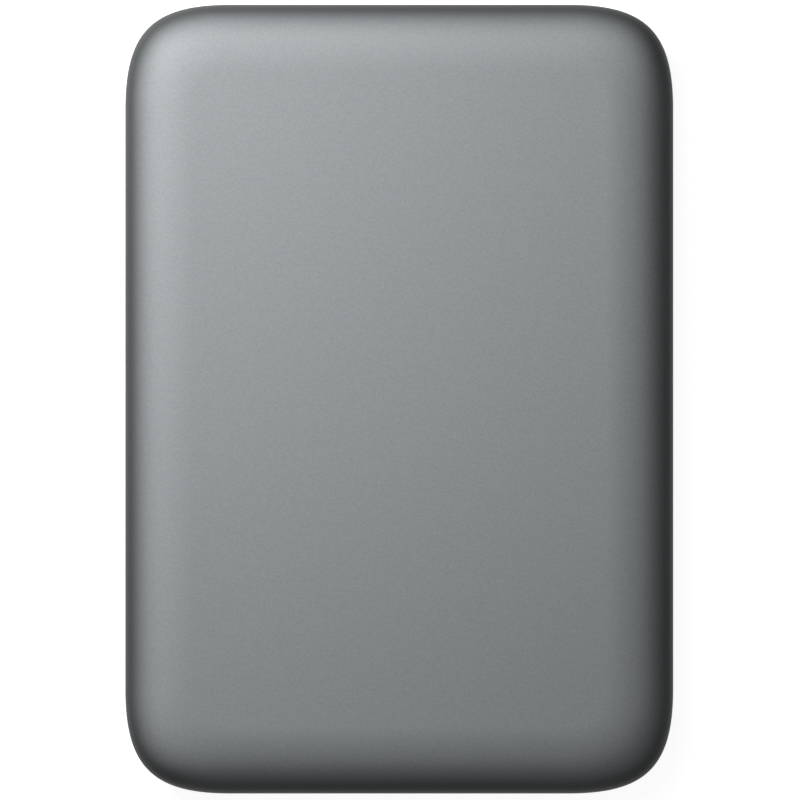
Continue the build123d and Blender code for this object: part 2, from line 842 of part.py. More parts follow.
disc("lower_disc", disc_bottom[0])
disc("upper_disc", disc_bottom[1])

with BuildPart() as disc_spacer:
    with BuildSketch(level(disc_top[0], spindle)):
        Circle(flange_radius)
        Circle(disc_bore / 2, mode=Mode.SUBTRACT)
    extrude(amount=disc_bottom[1] - disc_top[0])
save(disc_spacer, "disc_spacer")

with BuildPart() as disc_clamp:
    with BuildSketch(level(disc_top[1], spindle)):
        Circle(disc_bore / 2 + clamp_overlap)
        Circle(clamp_bore, mode=Mode.SUBTRACT)
        with PolarLocations(clamp_screw_circle / 2, clamp_screws_around):
            Circle(clamp_screw_shank + screw_clearance, mode=Mode.SUBTRACT)
    extrude(amount=clamp_thickness)
save(disc_clamp, "disc_clamp")

with BuildPart() as clamp_screws:
    with BuildSketch(level(disc_top[1] + clamp_thickness, spindle)):
        with PolarLocations(clamp_screw_circle / 2, clamp_screws_around):
            Circle(clamp_screw_head)
            RegularPolygon(clamp_screw_shank * 0.75, 6, mode=Mode.SUBTRACT)
    extrude(amount=clamp_screw_rise)
    with BuildSketch(level(disc_top[1] + clamp_thickness, spindle)):
        with PolarLocations(clamp_screw_circle / 2, clamp_screws_around):
            Circle(clamp_screw_shank)
    extrude(amount=-clamp_thickness - clamp_screw_shank)
save(clamp_screws, "clamp_screws")

# Actuator: three arms and the coil frame on one barrel, with the bearing sleeve, heads and coil
arm_reach = arm_length - suspension_length
pivot_bore = barrel_radius - barrel_wall
sleeve_bore = pivot_bore - pivot_wall
coil_plane = spoke_plane(coil_bottom, coil_park)

with BuildPart() as actuator_arms:
    with BuildSketch(level(arm_bottom[0], pivot)):
        Circle(barrel_radius)
    extrude(amount=arm_top[2] - arm_bottom[0])
    for bottom, top in zip(arm_bottom, arm_top):
        with BuildSketch(spoke_plane(bottom, park_angle)):
            with BuildLine():
                Polyline(
                    (0, arm_root_width / 2),
                    (arm_reach, arm_tip_width / 2),
                    (arm_reach, -arm_tip_width / 2),
                    (0, -arm_root_width / 2),
                    close=True,
                )
            make_face()
            with Locations((arm_reach, 0)):
                Circle(arm_tip_width / 2)
            with Locations(((barrel_radius + arm_reach) / 2, 0)):
                Circle(arm_hole, mode=Mode.SUBTRACT)
        extrude(amount=top - bottom)
    frame_inner = barrel_radius - barrel_wall / 2
    frame = ring_sector(coil_plane, frame_inner, frame_outer, -frame_half_angle, frame_half_angle)
    extrude(frame, amount=coil_thickness)
    window = ring_sector(coil_plane, coil_inner, coil_outer, -coil_half_angle, coil_half_angle)
    extrude(window, amount=coil_thickness, mode=Mode.SUBTRACT)
    with BuildSketch(level(arm_bottom[0], pivot)):
        Circle(pivot_bore)
    extrude(amount=arm_top[2] - arm_bottom[0], mode=Mode.SUBTRACT)
save(actuator_arms, "actuator_arms")

eye_angle = coil_half_angle - degrees(coil_band / ((coil_inner + coil_outer) / 2))
with BuildPart() as voice_coil:
    extrude(window, amount=coil_thickness)
    eye = ring_sector(coil_plane, coil_inner + coil_band, coil_outer - coil_band, -eye_angle, eye_angle)
    extrude(eye, amount=coil_thickness, mode=Mode.SUBTRACT)
save(voice_coil, "voice_coil")

with BuildPart() as pivot_sleeve:
    with BuildSketch(level(arm_bottom[0], pivot)):
        Circle(pivot_bore)
        Circle(sleeve_bore, mode=Mode.SUBTRACT)
    extrude(amount=arm_top[2] - arm_bottom[0])
save(pivot_sleeve, "pivot_sleeve")

with BuildPart() as pivot_post:
    with BuildSketch(level(floor_top, pivot)):
        Circle(sleeve_bore - bearing_gap)
    extrude(amount=lid_bottom - floor_top)
save(pivot_post, "pivot_post")

suspension_bottom = [
    arm_top[0],
    arm_bottom[1] - suspension_thickness,
    arm_top[1],
    arm_bottom[2] - suspension_thickness,
]
slider_bottom = [
    arm_top[0] + suspension_thickness,
    arm_bottom[1] - suspension_thickness - slider_height,
    arm_top[1] + suspension_thickness,
    arm_bottom[2] - suspension_thickness - slider_height,
]

with BuildPart() as suspensions:
    for bottom in suspension_bottom:
        with BuildSketch(spoke_plane(bottom, park_angle)):
            with BuildLine():
                Polyline(
                    (arm_reach - suspension_overlap / 2, suspension_width / 2),
                    (arm_reach + suspension_overlap / 2, suspension_width / 2),
                    (arm_length + suspension_tip / 2, suspension_tip / 2),
                    (arm_length + lift_tab, lift_tab_width / 2),
                    (arm_length + lift_tab, -lift_tab_width / 2),
                    (arm_length + suspension_tip / 2, -suspension_tip / 2),
                    (arm_reach + suspension_overlap / 2, -suspension_width / 2),
                    (arm_reach - suspension_overlap / 2, -suspension_width / 2),
                    close=True,
                )
            make_face()
        extrude(amount=suspension_thickness)
save(suspensions, "suspensions")

with BuildPart() as head_sliders:
    for bottom in slider_bottom:
        with BuildSketch(spoke_plane(bottom, park_angle)):
            with Locations((arm_length, 0)):
                Rectangle(slider_length, slider_width)
        extrude(amount=slider_height)
save(head_sliders, "head_sliders")


# Voice-coil motor: two yokes on posts with a magnet each, and the crash stops
def yoke(name, bottom):
    """One steel yoke plate with two post ears."""
    ear_root = yoke_outer - yoke_ear_root
    with BuildPart() as plate:
        extrude(
            ring_sector(level(bottom, pivot), yoke_inner, yoke_outer, yoke_start, yoke_end),
            amount=yoke_thickness,
        )
        for angle in post_angles:
            with BuildSketch(spoke_plane(bottom, angle)):
                with Locations(((ear_root + post_circle) / 2, 0)):
                    Rectangle(post_circle - ear_root, 2 * (yoke_post_radius + yoke_ear))
                with Locations((post_circle, 0)):
                    Circle(yoke_post_radius + yoke_ear)
            extrude(amount=yoke_thickness)
    save(plate, name)


yoke("lower_yoke", floor_top)
yoke("upper_yoke", upper_yoke)


def voice_magnet(name, bottom):
    """One arc magnet on its yoke."""
    with BuildPart() as magnet:
        arc = ring_sector(
            level(bottom, pivot),
            coil_inner + magnet_inset,
            coil_outer,
            yoke_start + magnet_end,
            yoke_end - magnet_end,
        )
        extrude(arc, amount=magnet_thickness)
    save(magnet, name)


voice_magnet("lower_magnet", lower_magnet)
voice_magnet("upper_magnet", upper_magnet)

with BuildPart() as yoke_posts:
    with BuildSketch(level(lower_magnet, pivot)):
        with Locations(*round_pivot(post_circle, post_angles)):
            Circle(yoke_post_radius)
    extrude(amount=upper_yoke - lower_magnet)
save(yoke_posts, "yoke_posts")

with BuildPart() as crash_stops:
    with BuildSketch(level(floor_top, pivot)):
        with Locations(*round_pivot(stop_circle, stop_angles)):
            Circle(stop_radius)
    extrude(amount=coil_bottom + coil_thickness - floor_top)
save(crash_stops, "crash_stops")

# Parking ramp beside the discs: a wall with one fin level with each disc
tab_reach = arm_length + lift_tab
ramp_start = park_angle - ramp_before
ramp_end = park_angle + ramp_after
fin_gap = suspension_thickness + ramp_lift
with BuildPart() as parking_ramp:
    ramp_side = ring_sector(
        level(floor_top, pivot), tab_reach + ramp_gap, tab_reach + ramp_gap + ramp_wall, ramp_start, ramp_end
    )
    extrude(ramp_side, amount=arm_top[2] - floor_top)
    for bottom, top in zip(disc_bottom, disc_top):
        fin = ring_sector(
            level(bottom - head_gap + fin_gap, pivot),
            tab_reach - ramp_fin,
            tab_reach + ramp_gap + ramp_wall / 2,
            ramp_start,
            ramp_end,
        )
        extrude(fin, amount=top - bottom + 2 * (head_gap - fin_gap))
    with BuildSketch(level(floor_top, spindle)):
        Circle(disc_radius + disc_shroud * 0.75)
    extrude(amount=arm_top[2] - floor_top, mode=Mode.SUBTRACT)
save(parking_ramp, "parking_ramp")

# Air filters and the flex bracket on the floor of the drive
with BuildPart() as air_filter:
    with BuildSketch(level(floor_top, (bay_right - 3.6, bay_back + 4.4))):
        RectangleRounded(5.4, 3.4, 0.8)
    extrude(amount=filter_height)
save(air_filter, "air_filter")

breather_right = bay_left + breather_from_side + breather_width
breather_place = (breather_right - breather_width / 2, bay_front - breather_from_front - breather_length / 2)
with BuildPart() as breather_filter:
    with BuildSketch(level(floor_top, breather_place)):
        RectangleRounded(breather_width, breather_length, 1.0)
    extrude(amount=breather_height)
save(breather_filter, "breather_filter")

flex_right = pivot[0] - flex_reach
flex_left = breather_right + flex_from_breather
flex_y = bay_front - flex_from_front
flex_head_place = (flex_right - flex_head_width / 2, flex_y - 1.0)
with BuildPart() as flex_bracket:
    with BuildSketch(level(floor_top, ((flex_left + flex_right) / 2, flex_y))):
        RectangleRounded(flex_right - flex_left, flex_foot_length, 0.8)
    extrude(amount=flex_foot)
    with BuildSketch(level(floor_top, flex_head_place)):
        Rectangle(flex_head_width, flex_head_length)
    extrude(amount=flex_head)
save(flex_bracket, "flex_bracket")

flex_turn = round_pivot(barrel_radius, [150])[0]
flex_start = (pivot[0] + flex_turn[0], pivot[1] + flex_turn[1])
flex_end = (flex_right, flex_head_place[1])
flex_middle = ((flex_start[0] + flex_end[0]) / 2 - 1.5, (flex_start[1] + flex_end[1]) / 2 - 3.0)
with BuildPart() as flex_ribbon:
    with BuildSketch(level(arm_top[0] + flex_gap)):
        with BuildLine():
            ribbon_side = ThreePointArc(flex_start, flex_middle, flex_end)
            offset(ribbon_side, amount=flex_thickness, side=Side.LEFT)
        make_face()
    extrude(amount=arm_bottom[1] - arm_top[0] - 2 * flex_gap)
    with BuildSketch(level(arm_bottom[0])):
        with Locations(pivot):
            Circle(barrel_radius)
        with Locations(flex_head_place):
            Rectangle(flex_head_width, flex_head_length)
    extrude(amount=arm_top[2] - arm_bottom[0], mode=Mode.SUBTRACT)
save(flex_ribbon, "flex_ribbon")

# Drive board under the base, with its chips, screws and the drive plug
drive_board_back = recess_back + board_gap
with BuildPart() as drive_board:
    with BuildSketch(level(board_bottom)):
        with Locations((0, (drive_board_back + plug_back) / 2)):
            Rectangle(2 * (recess_x - board_gap), plug_back - drive_board_back)
        with Locations(*board_screw_places):
            Circle(board_screw_shank + screw_clearance, mode=Mode.SUBTRACT)
    extrude(amount=drive_board_thickness)
save(drive_board, "drive_board")

chip_places = [
    (-12.0, 12.0, 12.0, 12.0),
    (8.0, 10.0, 9.0, 9.0),
    (-10.0, 26.0, 8.0, 10.0),
    (14.0, 24.0, 7.0, 7.0),
]
with BuildPart() as drive_chips:
    with BuildSketch(level(board_bottom - chip_height)):
        for x, ahead, width, length in chip_places:
            with Locations((x, drive_board_back + ahead)):
                Rectangle(width, length)
    extrude(amount=chip_height)
save(drive_chips, "drive_chips")

with BuildPart() as board_screws:
    with BuildSketch(level(board_bottom)):
        with Locations(*board_screw_places):
            Circle(board_screw_head)
            RegularPolygon(board_screw_head * 0.42, 6, mode=Mode.SUBTRACT)
    extrude(amount=-board_screw_head * 0.27)
    with BuildSketch(level(board_bottom)):
        with Locations(*board_screw_places):
            Circle(board_screw_shank)
    extrude(amount=drive_board_thickness + board_screw_length)
save(board_screws, "board_screws")

tongue_bottom = port_z - sata_tongue / 2
tongue_left = sata_offset - sata_width / 2 + sata_margin
sata_power = sata_width - 2 * sata_margin - sata_signal - sata_key


def tongues(z, back, length, grow):
    """Plan of the signal and power tongues of the drive plug, or of the pockets that take them."""
    with BuildSketch(level(z)) as drawn:
        for left, width in ((tongue_left, sata_signal), (tongue_left + sata_signal + sata_key, sata_power)):
            with Locations((left + width / 2, back + length / 2)):
                Rectangle(width + 2 * grow, length)
    return drawn.sketch


with BuildPart() as drive_plug:
    with BuildSketch(level(plug_bottom, (sata_offset, plug_back + sata_back / 2))):
        Rectangle(sata_width, sata_back)
    extrude(amount=sata_height)
    extrude(tongues(tongue_bottom, plug_back + sata_back, sata_tongue_length, 0), amount=sata_tongue)
save(drive_plug, "drive_plug")

# Bridge board ahead of the drive: mating socket, port, chip, small parts and the light
socket_back = plug_back + sata_back + sata_clearance
socket_width = sata_width - 4 * sata_clearance
socket_bottom = plug_bottom + sata_clearance
socket_height = sata_height - 2 * sata_clearance
port_notch = port_depth + port_sunk - wall - bridge_end_gap
with BuildPart() as bridge_board:
    with BuildSketch(level(bridge_bottom)):
        with Locations((0, (bridge_y[0] + bridge_y[1]) / 2)):
            Rectangle(bridge_width, bridge_y[1] - bridge_y[0])
        with Locations((port_offset, bridge_y[1])):
            Rectangle(port_main + port_side, 2 * port_notch, mode=Mode.SUBTRACT)
    extrude(amount=bridge_thickness)
save(bridge_board, "bridge_board")

with BuildPart() as drive_socket:
    with BuildSketch(level(socket_bottom)):
        with Locations((sata_offset, (socket_back + bridge_y[0]) / 2)):
            Rectangle(socket_width, bridge_y[0] - socket_back)
    extrude(amount=socket_height)
    with BuildSketch(level(bridge_top)):
        with Locations((sata_offset, bridge_y[0] + socket_heel / 2)):
            Rectangle(socket_width, socket_heel)
    extrude(amount=socket_bottom + socket_height - bridge_top)
    pockets = tongues(
        tongue_bottom - sata_clearance, socket_back, sata_tongue_length + sata_clearance, sata_clearance
    )
    extrude(pockets, amount=sata_tongue + 2 * sata_clearance, mode=Mode.SUBTRACT)
save(drive_socket, "drive_socket")

port_back = case_length / 2 - port_sunk - port_depth
main_x = port_offset - port_side / 2
side_x = port_offset + port_main / 2


def port_profile(inset):
    """End view of the port: a wide bay and a narrow bay, each with its lower corners cut off."""
    low = port_z - port_height / 2 + inset
    high = port_z + port_height / 2 - inset
    with BuildSketch(Plane.XZ.offset(-port_back)) as drawn:
        for middle, width, cut in ((main_x, port_main, port_main_cut), (side_x, port_side, port_side_cut)):
            half = width / 2 - inset
            with BuildLine():
                Polyline(
                    (middle - half, high),
                    (middle + half, high),
                    (middle + half, low + cut),
                    (middle + half - cut, low),
                    (middle - half + cut, low),
                    (middle - half, low + cut),
                    close=True,
                )
            make_face()
    return drawn.sketch


with BuildPart() as port_shell:
    extrude(port_profile(0), amount=-port_depth)
    extrude(port_profile(port_skin), amount=-port_depth, mode=Mode.SUBTRACT)
save(port_shell, "port_shell")

tongue_z = port_z + port_tongue_raise
with BuildPart() as port_insert:
    extrude(port_profile(port_skin), amount=-port_back_wall)
    with BuildSketch(Plane.XZ.offset(-port_back - port_back_wall)):
        with Locations((main_x, tongue_z)):
            Rectangle(port_main - 2 * port_main_room, port_tongue)
        with Locations((side_x, tongue_z)):
            Rectangle(port_side - 2 * port_side_room, port_tongue)
    extrude(amount=port_back_wall + port_tongue_short - port_depth)
save(port_insert, "port_insert")

contact_z = tongue_z - port_tongue / 2 - contact_thickness / 2
contact_places = [(main_x + main_pitch * step, contact_z) for step in range(-2, 3)]
contact_places += [(side_x + side_pitch * step, contact_z) for step in range(-2, 3)]
with BuildPart() as port_contacts:
    with BuildSketch(Plane.XZ.offset(-port_back - port_back_wall)):
        with Locations(*contact_places):
            Rectangle(contact_width, contact_thickness)
    extrude(amount=port_back_wall + port_tongue_short + contact_short - port_depth)
save(port_contacts, "port_contacts")

board_mid = (bridge_y[0] + socket_heel + bridge_y[1]) / 2 + 0.2
with BuildPart() as bridge_chip:
    with BuildSketch(level(bridge_top)):
        with Locations((-13.0, board_mid)):
            Rectangle(5.0, 5.0)
    extrude(amount=0.8)
save(bridge_chip, "bridge_chip")

capacitor_places = [(-22.0, 0.6), (-22.0, -1.4), (-18.4, 1.4), (20.0, 0.6), (20.0, -1.4), (23.4, 0.6)]
with BuildPart() as bridge_capacitors:
    with BuildSketch(level(bridge_top)):
        with Locations(*[(x, board_mid + y) for x, y in capacitor_places]):
            Rectangle(1.6, 0.8)
    extrude(amount=0.7)
save(bridge_capacitors, "bridge_capacitors")

with BuildPart() as clock_crystal:
    with BuildSketch(level(bridge_top, (-8.0, board_mid))):
        RectangleRounded(2.0, 3.2, 0.3)
    extrude(amount=0.7)
save(clock_crystal, "clock_crystal")

lamp_y = bridge_y[1] - light_from_edge
with BuildPart() as activity_light:
    with BuildSketch(level(bridge_top, (light_offset, lamp_y))):
        Rectangle(1.6, 0.8)
    extrude(amount=0.6)
save(activity_light, "activity_light")

with BuildPart() as light_pipe:
    with BuildSketch(Plane.XZ.offset(-lamp_y - 0.5)):
        with Locations((light_offset, light_z + light_radius / 2)):
            Rectangle(2 * light_radius, light_radius)
    extrude(amount=lamp_y + 0.5 - bridge_y[1])
    with BuildSketch(Plane.XZ.offset(-bridge_y[1])):
        with Locations((light_offset, light_z)):
            Circle(light_radius)
    extrude(amount=bridge_y[1] + light_sunk - case_length / 2)
save(light_pipe, "light_pipe")
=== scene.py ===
import json
from math import cos, pi, radians, sin

import bmesh
import bpy
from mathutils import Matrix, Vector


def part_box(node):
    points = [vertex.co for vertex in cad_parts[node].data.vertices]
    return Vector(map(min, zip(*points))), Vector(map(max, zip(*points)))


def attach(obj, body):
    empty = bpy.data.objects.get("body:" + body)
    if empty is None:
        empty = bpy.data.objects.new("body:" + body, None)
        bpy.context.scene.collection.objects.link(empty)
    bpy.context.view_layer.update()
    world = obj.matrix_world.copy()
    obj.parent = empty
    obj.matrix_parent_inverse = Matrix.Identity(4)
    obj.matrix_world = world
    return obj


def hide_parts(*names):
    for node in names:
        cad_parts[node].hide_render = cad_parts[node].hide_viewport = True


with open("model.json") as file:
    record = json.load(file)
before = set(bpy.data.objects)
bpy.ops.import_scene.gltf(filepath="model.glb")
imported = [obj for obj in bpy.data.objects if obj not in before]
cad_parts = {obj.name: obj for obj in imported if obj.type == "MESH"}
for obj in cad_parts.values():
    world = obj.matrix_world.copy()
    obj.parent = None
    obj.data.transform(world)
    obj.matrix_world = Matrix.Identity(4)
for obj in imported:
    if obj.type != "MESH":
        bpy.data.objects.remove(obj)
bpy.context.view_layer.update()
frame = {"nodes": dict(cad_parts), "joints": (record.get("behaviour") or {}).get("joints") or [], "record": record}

scene = bpy.context.scene

# Looks of a portable hard drive: a finish for every piece, two smooth case shells and a plain studio.
# Lengths are in millimetres, and MM turns them into metres.
MM = 0.001


def box_mm(node):
    """Lowest and highest corners of a node, each as x, y, z."""
    return [[place / MM for place in corner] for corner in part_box(node)]


# Case: its reach comes from the frame, and its walls and curves are those of the solids
cover_low, cover_high = box_mm("top_cover")
HALF_X, HALF_Y, TOP = cover_high
SPLIT = cover_low[2]
BOTTOM = box_mm("bottom_tray")[0][2]
WALL = 1.6
CORNER = 15.4
CORNER_PULL = 4.0
COVER_LAND = 3.2
TRAY_LAND = 1.0
TOP_RUN = 10.2
LOW_RUN = 5.0
TOP_EDGE = SPLIT + COVER_LAND
LOW_EDGE = SPLIT - TRAY_LAND
ROOF = TOP - WALL
TRAY_FLOOR = BOTTOM + WALL

# Parting line: a groove round the cover, and the tray's lip in the cover's rebate
GROOVE = 0.25
GROOVE_EDGE = 0.07
GROOVE_EDGE_MIDDLE = 0.02
LIP_INSET = WALL / 2
LIP_HEIGHT = 1.2
LIP_GAP = 0.05
LIP_TOP = SPLIT + LIP_HEIGHT
REBATE_INSET = LIP_INSET - LIP_GAP
REBATE_TOP = LIP_TOP + LIP_GAP

# Port doorway and lamp window; a flare gives its start inside the skin, its end outside and its widening
(PORT_LEFT, _, _), (PORT_RIGHT, _, PORT_TOP) = box_mm("port_shell")
PORT_GAP = 0.1
PORT_ROUND = 0.35
PORT_FLARE = (0.16, 0.24, 0.3)
WINDOW_GAP = 0.05
WINDOW_FLARE = (0.08, 0.22, 0.22)

# Ribs under the roof, and what stands in and on the tray's floor
RIB = 1.4
RIB_OFFSET = 19.0
RIB_LENGTH = 64.0
RIB_PITCH = 22.4
BUMPERS = ("bumper_port_left", "bumper_port_right", "bumper_far_left", "bumper_far_right")
BUMPER_BACKING = 1.5
POST_RADIUS = 1.6
POST_FROM_SIDE = 3.0
POST_FROM_BACK = 2.2
FOOT_RADIUS = 4.0
FOOT_RECESS = 0.6
FOOT_INSET_X = 15.5
FOOT_INSET_Y = 16.3

# How far a block runs into the wall that carries it, and a cut past the wall that it goes through
ROOT = WALL / 2
OVERCUT = 1.0

# Skins: steps of their curves, a ring of flat beside each roll, and the angle from which edges are sharp
CORNER_STEPS = 40
TOP_STEPS = 56
ROOF_STEPS = 20
LOW_STEPS = 36
FLOOR_STEPS = 12
PORT_STEPS = 6
HOLE_SIDES = 48
FOOT_SIDES = 96
FLAT_MARGIN = 0.5
SHARP_ANGLE = 32

# Painted shade: the cover's colour darkens to graphite, to this share of itself, between these two heights on its
# shoulder
PAINTED_SHADE_LOW = 10.6
PAINTED_SHADE_HIGH = 14.3
PAINTED_SIDE_SHADE = 0.165

# Turned rings run round the spindle, and a wave texture of scale 1 repeats after WAVE_PITCH
spin = next(joint for joint in frame["joints"] if joint["name"] == "spindle_spin")
SPINDLE = [place / MM for place in spin["pos_m"]]
WAVE_PITCH = 0.314

# Floor just under the feet: the camera sees its glow and grey, and its bounce lights the object
FLOOR_RADIUS = 12000
FLOOR_SIDES = 96
FLOOR_DROP = 0.05
FLOOR_GLOW = 0.9
FLOOR_GREY = 0.5
FLOOR_BOUNCE = 0.3

# World: its light on the object, and the background, which fades upwards from white
WORLD_LIGHT = 0.15
FADE_START = 0.03
FADE_END = 0.2
FADE_GREY = 0.1

# Lamps look straight down: x, y and power in watts
LAMP_HEIGHT = 165
LAMP_SIZE = 150
LAMPS = {"key": (-219, 233, 2.93), "top": (-41, 44, 0.117)}

# Camera straight above the case, with its rise over the cover's widest edge
LENS = 365.3
SENSOR = 36
CAMERA_X = 0.11
CAMERA_Y = -0.13
CAMERA_RISE = 1200
CAMERA_REACH = 20000


# Materials

def add_node(tree, kind, inputs, **settings):
    """A new node with its settings; each input takes a plain value or a link from another node's output."""
    node = tree.nodes.new(kind)
    for name, setting in settings.items():
        setattr(node, name, setting)
    for socket, given in inputs.items():
        if isinstance(given, bpy.types.NodeSocket):
            tree.links.new(given, node.inputs[socket])
        else:
            node.inputs[socket].default_value = given
    return node


def add_ramp(tree, pattern, low, high, start=0.0, end=1.0):
    """Colours that run from low to high as the pattern goes from start to end."""
    node = add_node(tree, "ShaderNodeValToRGB", {"Fac": pattern})
    for stop, place, colour in zip(node.color_ramp.elements, (start, end), (low, high)):
        stop.position = place
        stop.color = (*colour, 1)
    return node


def shade(colour, by):
    """The colour made lighter or darker, up to white."""
    return [min(1.0, part * by) for part in colour]


class Finish:
    """A material with its plain values on the shader's own sockets and its patterns in object space."""

    def __init__(self, name, colour, rough, metal=0.0, gloss=0.5):
        self.material = bpy.data.materials.new(name)
        self.material.use_nodes = True
        self.tree = self.material.node_tree
        self.shader = self.tree.nodes["Principled BSDF"]
        self.colour = colour
        self.where = self.tree.nodes.new("ShaderNodeTexCoord").outputs["Object"]
        self.set_value("Base Color", (*colour, 1))
        self.set_value("Roughness", rough)
        self.set_value("Metallic", metal)
        self.set_value("Specular IOR Level", gloss)

    def set_value(self, socket, value):
        """Puts a plain value on one of the shader's sockets."""
        self.shader.inputs[socket].default_value = value

    def link(self, socket, output):
        """Links a node's output to one of the shader's sockets."""
        self.tree.links.new(output, self.shader.inputs[socket])

    def mapped(self, inputs):
        """Object coordinates, moved or scaled."""
        return add_node(self.tree, "ShaderNodeMapping", {"Vector": self.where, **inputs}).outputs["Vector"]

    def noise(self, size, detail=2.0, stretch=None):
        """Soft noise whose lumps are about size across, and longer where stretch is under 1."""
        where = self.mapped({"Scale": stretch}) if stretch else self.where
        inputs = {"Vector": where, "Scale": 1 / (size * MM), "Detail": detail}
        return add_node(self.tree, "ShaderNodeTexNoise", inputs).outputs["Fac"]

    def cells(self, size):
        """Cell pattern whose cells are about size across."""
        inputs = {"Vector": self.where, "Scale": 1 / (size * MM)}
        return add_node(self.tree, "ShaderNodeTexVoronoi", inputs).outputs["Distance"]

    def bands(self, size, wobble):
        """Level bands about size apart."""
        inputs = {"Vector": self.where, "Scale": WAVE_PITCH / (size * MM), "Distortion": wobble}
        return add_node(self.tree, "ShaderNodeTexWave", inputs, bands_direction="Z").outputs["Fac"]

    def rings(self, size, wobble=0.4):
        """Turned rings about size apart round the spindle."""
        where = self.mapped({"Location": (-SPINDLE[0] * MM, -SPINDLE[1] * MM, 0)})
        inputs = {"Vector": where, "Scale": WAVE_PITCH / (size * MM), "Distortion": wobble}
        settings = {"wave_type": "RINGS", "rings_direction": "Z"}
        return add_node(self.tree, "ShaderNodeTexWave", inputs, **settings).outputs["Fac"]

    def span(self, pattern, low, high, start=0.3, end=0.7):
        """A number that runs from low to high as the pattern goes from start to end."""
        inputs = {"Value": pattern, "From Min": start, "From Max": end, "To Min": low, "To Max": high}
        return add_node(self.tree, "ShaderNodeMapRange", inputs).outputs["Result"]

    def tint(self, pattern, low, high, start=0.35, end=0.65):
        """Base colour between two shades of the finish's own colour."""
        low_colour, high_colour = shade(self.colour, low), shade(self.colour, high)
        ramp = add_ramp(self.tree, pattern, low_colour, high_colour, start, end)
        self.link("Base Color", ramp.outputs["Color"])

    def polish(self, pattern, low, high):
        """Roughness between two values."""
        self.link("Roughness", self.span(pattern, low, high))

    def relief(self, pattern, height):
        """Surface bumps of this height, or pits where it is negative."""
        bump = add_node(self.tree, "ShaderNodeBump", {"Height": pattern, "Distance": height * MM})
        self.link("Normal", bump.outputs["Normal"])


def paint(name, colour):
    """Satin silver-grey paint with a fine flake grain, and painted shade that darkens it to graphite down the
    sides.
    """
    finish = Finish(name, colour, rough=0.5, gloss=0.1)
    tree = finish.tree
    height = add_node(tree, "ShaderNodeSeparateXYZ", {"Vector": finish.where}).outputs["Z"]
    shade_mask = finish.span(height, low=0, high=1, start=PAINTED_SHADE_LOW * MM, end=PAINTED_SHADE_HIGH * MM)
    # Painted shade: the colour darkens to graphite down the rolled sides below the flat top
    painted_shade = add_ramp(tree, shade_mask, shade(colour, PAINTED_SIDE_SHADE), colour)
    painted_shade.color_ramp.interpolation = "EASE"
    flake = finish.noise(size=0.32, detail=3.0)
    inputs = {0: painted_shade.outputs["Color"], "Scale": finish.span(flake, low=0.93, high=1.07)}
    grainy = add_node(tree, "ShaderNodeVectorMath", inputs, operation="SCALE")
    finish.link("Base Color", grainy.outputs["Vector"])
    finish.relief(flake, height=0.004)
    return finish.material


def moulded(name, colour, rough, grain, depth):
    """Moulded plastic with a spark-eroded grain."""
    finish = Finish(name, colour, rough, gloss=0.4)
    grainy = finish.noise(size=grain, detail=3.0)
    finish.tint(grainy, low=0.88, high=1.12)
    finish.polish(finish.noise(size=3.0), low=rough - 0.06, high=rough + 0.06)
    finish.relief(grainy, height=depth)
    return finish.material


def rubber(name, colour):
    """Matt rubber with a dusty bloom."""
    finish = Finish(name, colour, rough=0.8, gloss=0.25)
    finish.tint(finish.noise(size=1.6, detail=4.0), low=0.8, high=1.5)
    finish.polish(finish.noise(size=0.5), low=0.7, high=0.88)
    finish.relief(finish.noise(size=0.25), height=0.015)
    return finish.material


def foam(name, colour):
    """Open-cell foam: pale raised cells with painted shade in the sunken pores between them."""
    finish = Finish(name, colour, rough=0.95, gloss=0.1)
    shaded_pores = finish.cells(size=0.45)
    # Painted shade: the colour darkens into the sunken pores between the cells
    finish.tint(shaded_pores, low=1.5, high=0.4, start=0.1, end=0.7)
    finish.relief(shaded_pores, height=-0.15)
    return finish.material


def clear(name, colour):
    """Milky clear plastic."""
    finish = Finish(name, colour, rough=0.25)
    finish.set_value("Transmission Weight", 0.45)
    finish.set_value("IOR", 1.49)
    cloud = finish.noise(size=1.2)
    finish.tint(cloud, low=0.92, high=1.04)
    finish.polish(cloud, low=0.2, high=0.34)
    return finish.material


def board(name, colour):
    """Solder mask over tracks that show through it as raised lines."""
    finish = Finish(name, colour, rough=0.35)
    pitch = 3.2
    inputs = {"Vector": finish.where, "Scale": 1 / (pitch * MM), "Mortar Size": 0.07}
    for part, by in (("Color1", 1.0), ("Color2", 0.8), ("Mortar", 1.9)):
        inputs[part] = (*shade(colour, by), 1)
    tracks = add_node(finish.tree, "ShaderNodeTexBrick", inputs)
    finish.link("Base Color", tracks.outputs["Color"])
    finish.polish(finish.noise(size=2.0), low=0.3, high=0.42)
    finish.relief(tracks.outputs["Fac"], height=0.02)
    return finish.material


def ceramic(name, colour):
    """Fired ceramic with fine speckles."""
    finish = Finish(name, colour, rough=0.4)
    specks = finish.noise(size=0.15, detail=3.0)
    finish.tint(specks, low=0.85, high=1.12)
    finish.polish(specks, low=0.34, high=0.5)
    return finish.material


def brushed(name, colour, rough, along, grain):
    """Drawn or ground metal with fine lines along one direction."""
    finish = Finish(name, colour, rough, metal=1.0)
    lines = finish.noise(size=grain, detail=4.0, stretch=along)
    finish.tint(lines, low=0.9, high=1.08)
    finish.polish(lines, low=rough - 0.02, high=rough + 0.03)
    finish.relief(lines, height=0.0004)
    return finish.material


def turned(name, colour):
    """Turned metal with fine rings round the spindle."""
    finish = Finish(name, colour, rough=0.24, metal=1.0)
    cuts = finish.rings(size=0.18)
    finish.tint(finish.noise(size=2.5), low=0.94, high=1.05)
    finish.polish(cuts, low=0.19, high=0.32)
    finish.relief(cuts, height=0.004)
    return finish.material


